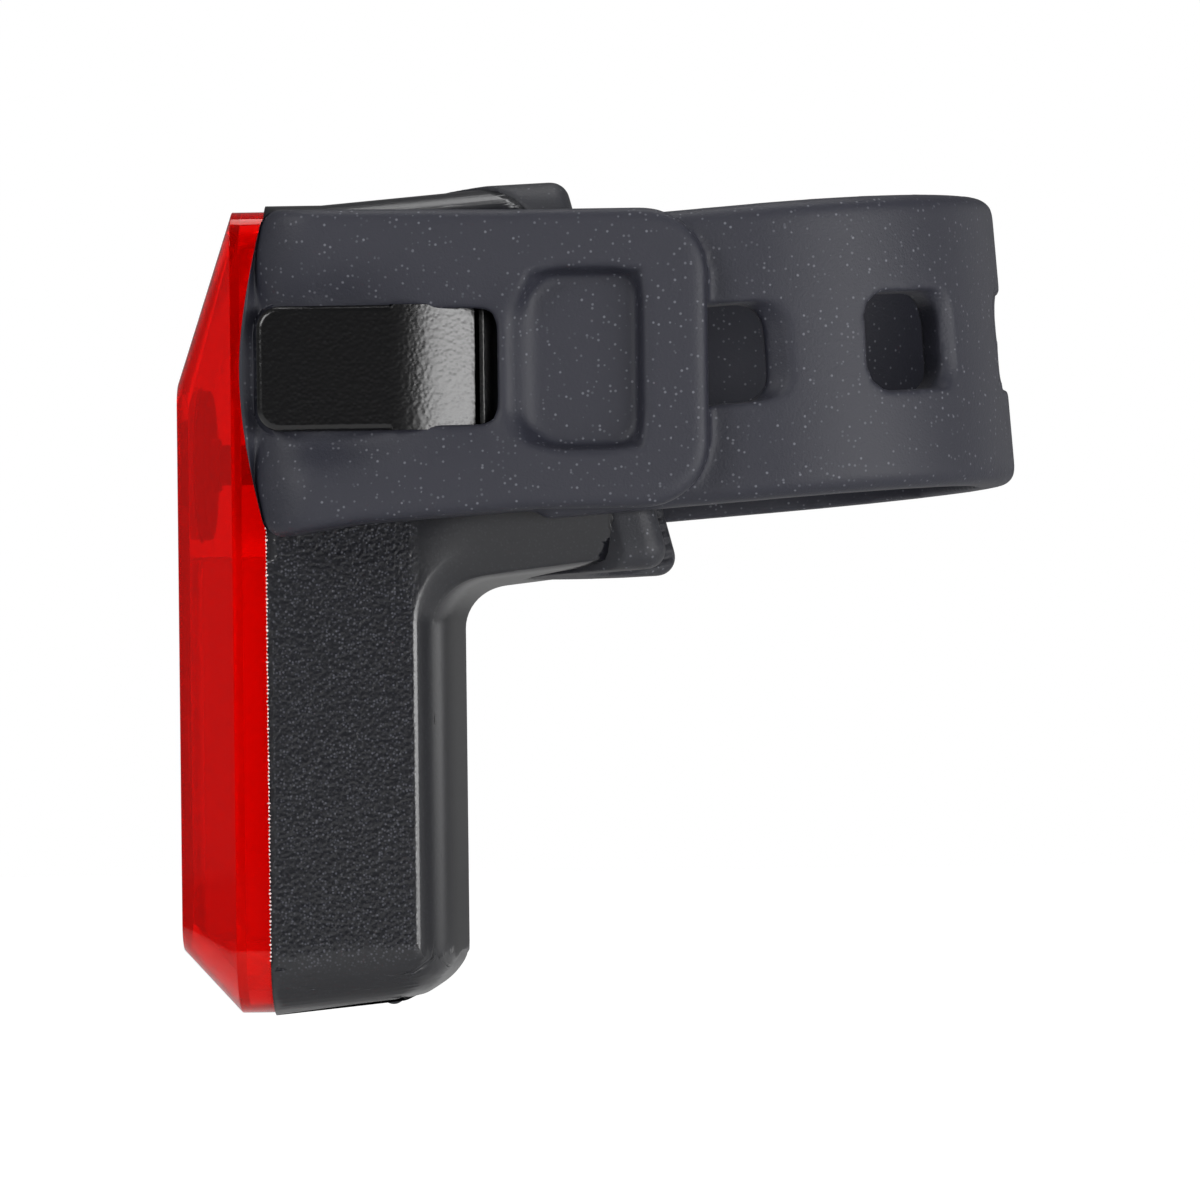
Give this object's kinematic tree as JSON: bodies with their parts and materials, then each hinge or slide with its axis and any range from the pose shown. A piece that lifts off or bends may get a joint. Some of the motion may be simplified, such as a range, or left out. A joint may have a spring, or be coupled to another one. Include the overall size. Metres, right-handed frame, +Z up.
{
  "type": "bike rear light",
  "caption": "Upright rear light with a red lens, a push button and a short arm that a rubber strap holds to a seat post.",
  "frame": {"origin": "on the seat post's axis, level with the middle of the strap", "axes": "+Z up, -X is the way the lens faces, -Y is the side of the strap's pull tab"},
  "size_m": [0.0653, 0.0424, 0.0638],
  "materials": {
    "red_lens": "clear red moulded polycarbonate, glossy",
    "clear_optic": "clear polycarbonate",
    "smoked_window": "dark tinted, glossy",
    "housing_plastic": "black, spark-eroded texture",
    "hook_plastic": "black, glossy with a fine grain",
    "pad_rubber": "black rubber, matt",
    "strap_rubber": "charcoal silicone rubber, matt",
    "cover_rubber": "black rubber, matt",
    "button_rubber": "black rubber",
    "bezel_plastic": "black",
    "tray_plastic": "bright moulded reflector",
    "circuit_board": "solder mask",
    "led_package": "resin over phosphor",
    "chip_epoxy": "moulded epoxy",
    "switch_plastic": "black",
    "screw_steel": "plated steel",
    "socket_steel": "stamped steel",
    "tongue_plastic": "black",
    "cell_foil": "laminated foil pouch",
    "foam": "adhesive foam",
    "lead_insulation": "insulated wire"
  },
  "bodies": {
    "light": {"lens": "red_lens", "optic_plate": "clear_optic", "sensor_window": "smoked_window", "rear_housing": "housing_plastic", "near_hook": "hook_plastic", "far_hook": "hook_plastic", "saddle_pad": "pad_rubber", "strap": "strap_rubber", "button_bezel": "bezel_plastic", "reflector_tray": "tray_plastic", "led_board": "circuit_board", "cell_board": "circuit_board", "leds": "led_package", "status_led": "led_package", "light_sensor": "chip_epoxy", "controller_chip": "chip_epoxy", "motion_sensor": "chip_epoxy", "switch_body": "switch_plastic", "board_screws": "screw_steel", "hook_screws": "screw_steel", "usb_socket": "socket_steel", "usb_tongue": "tongue_plastic", "battery": "cell_foil", "battery_foam": "foam", "battery_leads": "lead_insulation"},
    "button": {"button_cap": "button_rubber", "switch_plunger": "switch_plastic"},
    "port_cover": {"port_cover": "cover_rubber"}
  },
  "joints": [
    {"name": "button_press", "type": "slide", "parent": "light", "child": "button", "axis": [1, 0, 0], "range_m": [0, 0.0004], "stiffness_N_per_m": 5000},
    {"name": "port_cover_hinge", "type": "hinge", "parent": "light", "child": "port_cover", "pos_m": [-0.0246, 0, -0.04991], "axis": [0, -1, 0], "range_deg": [0, 95]}
  ]
}
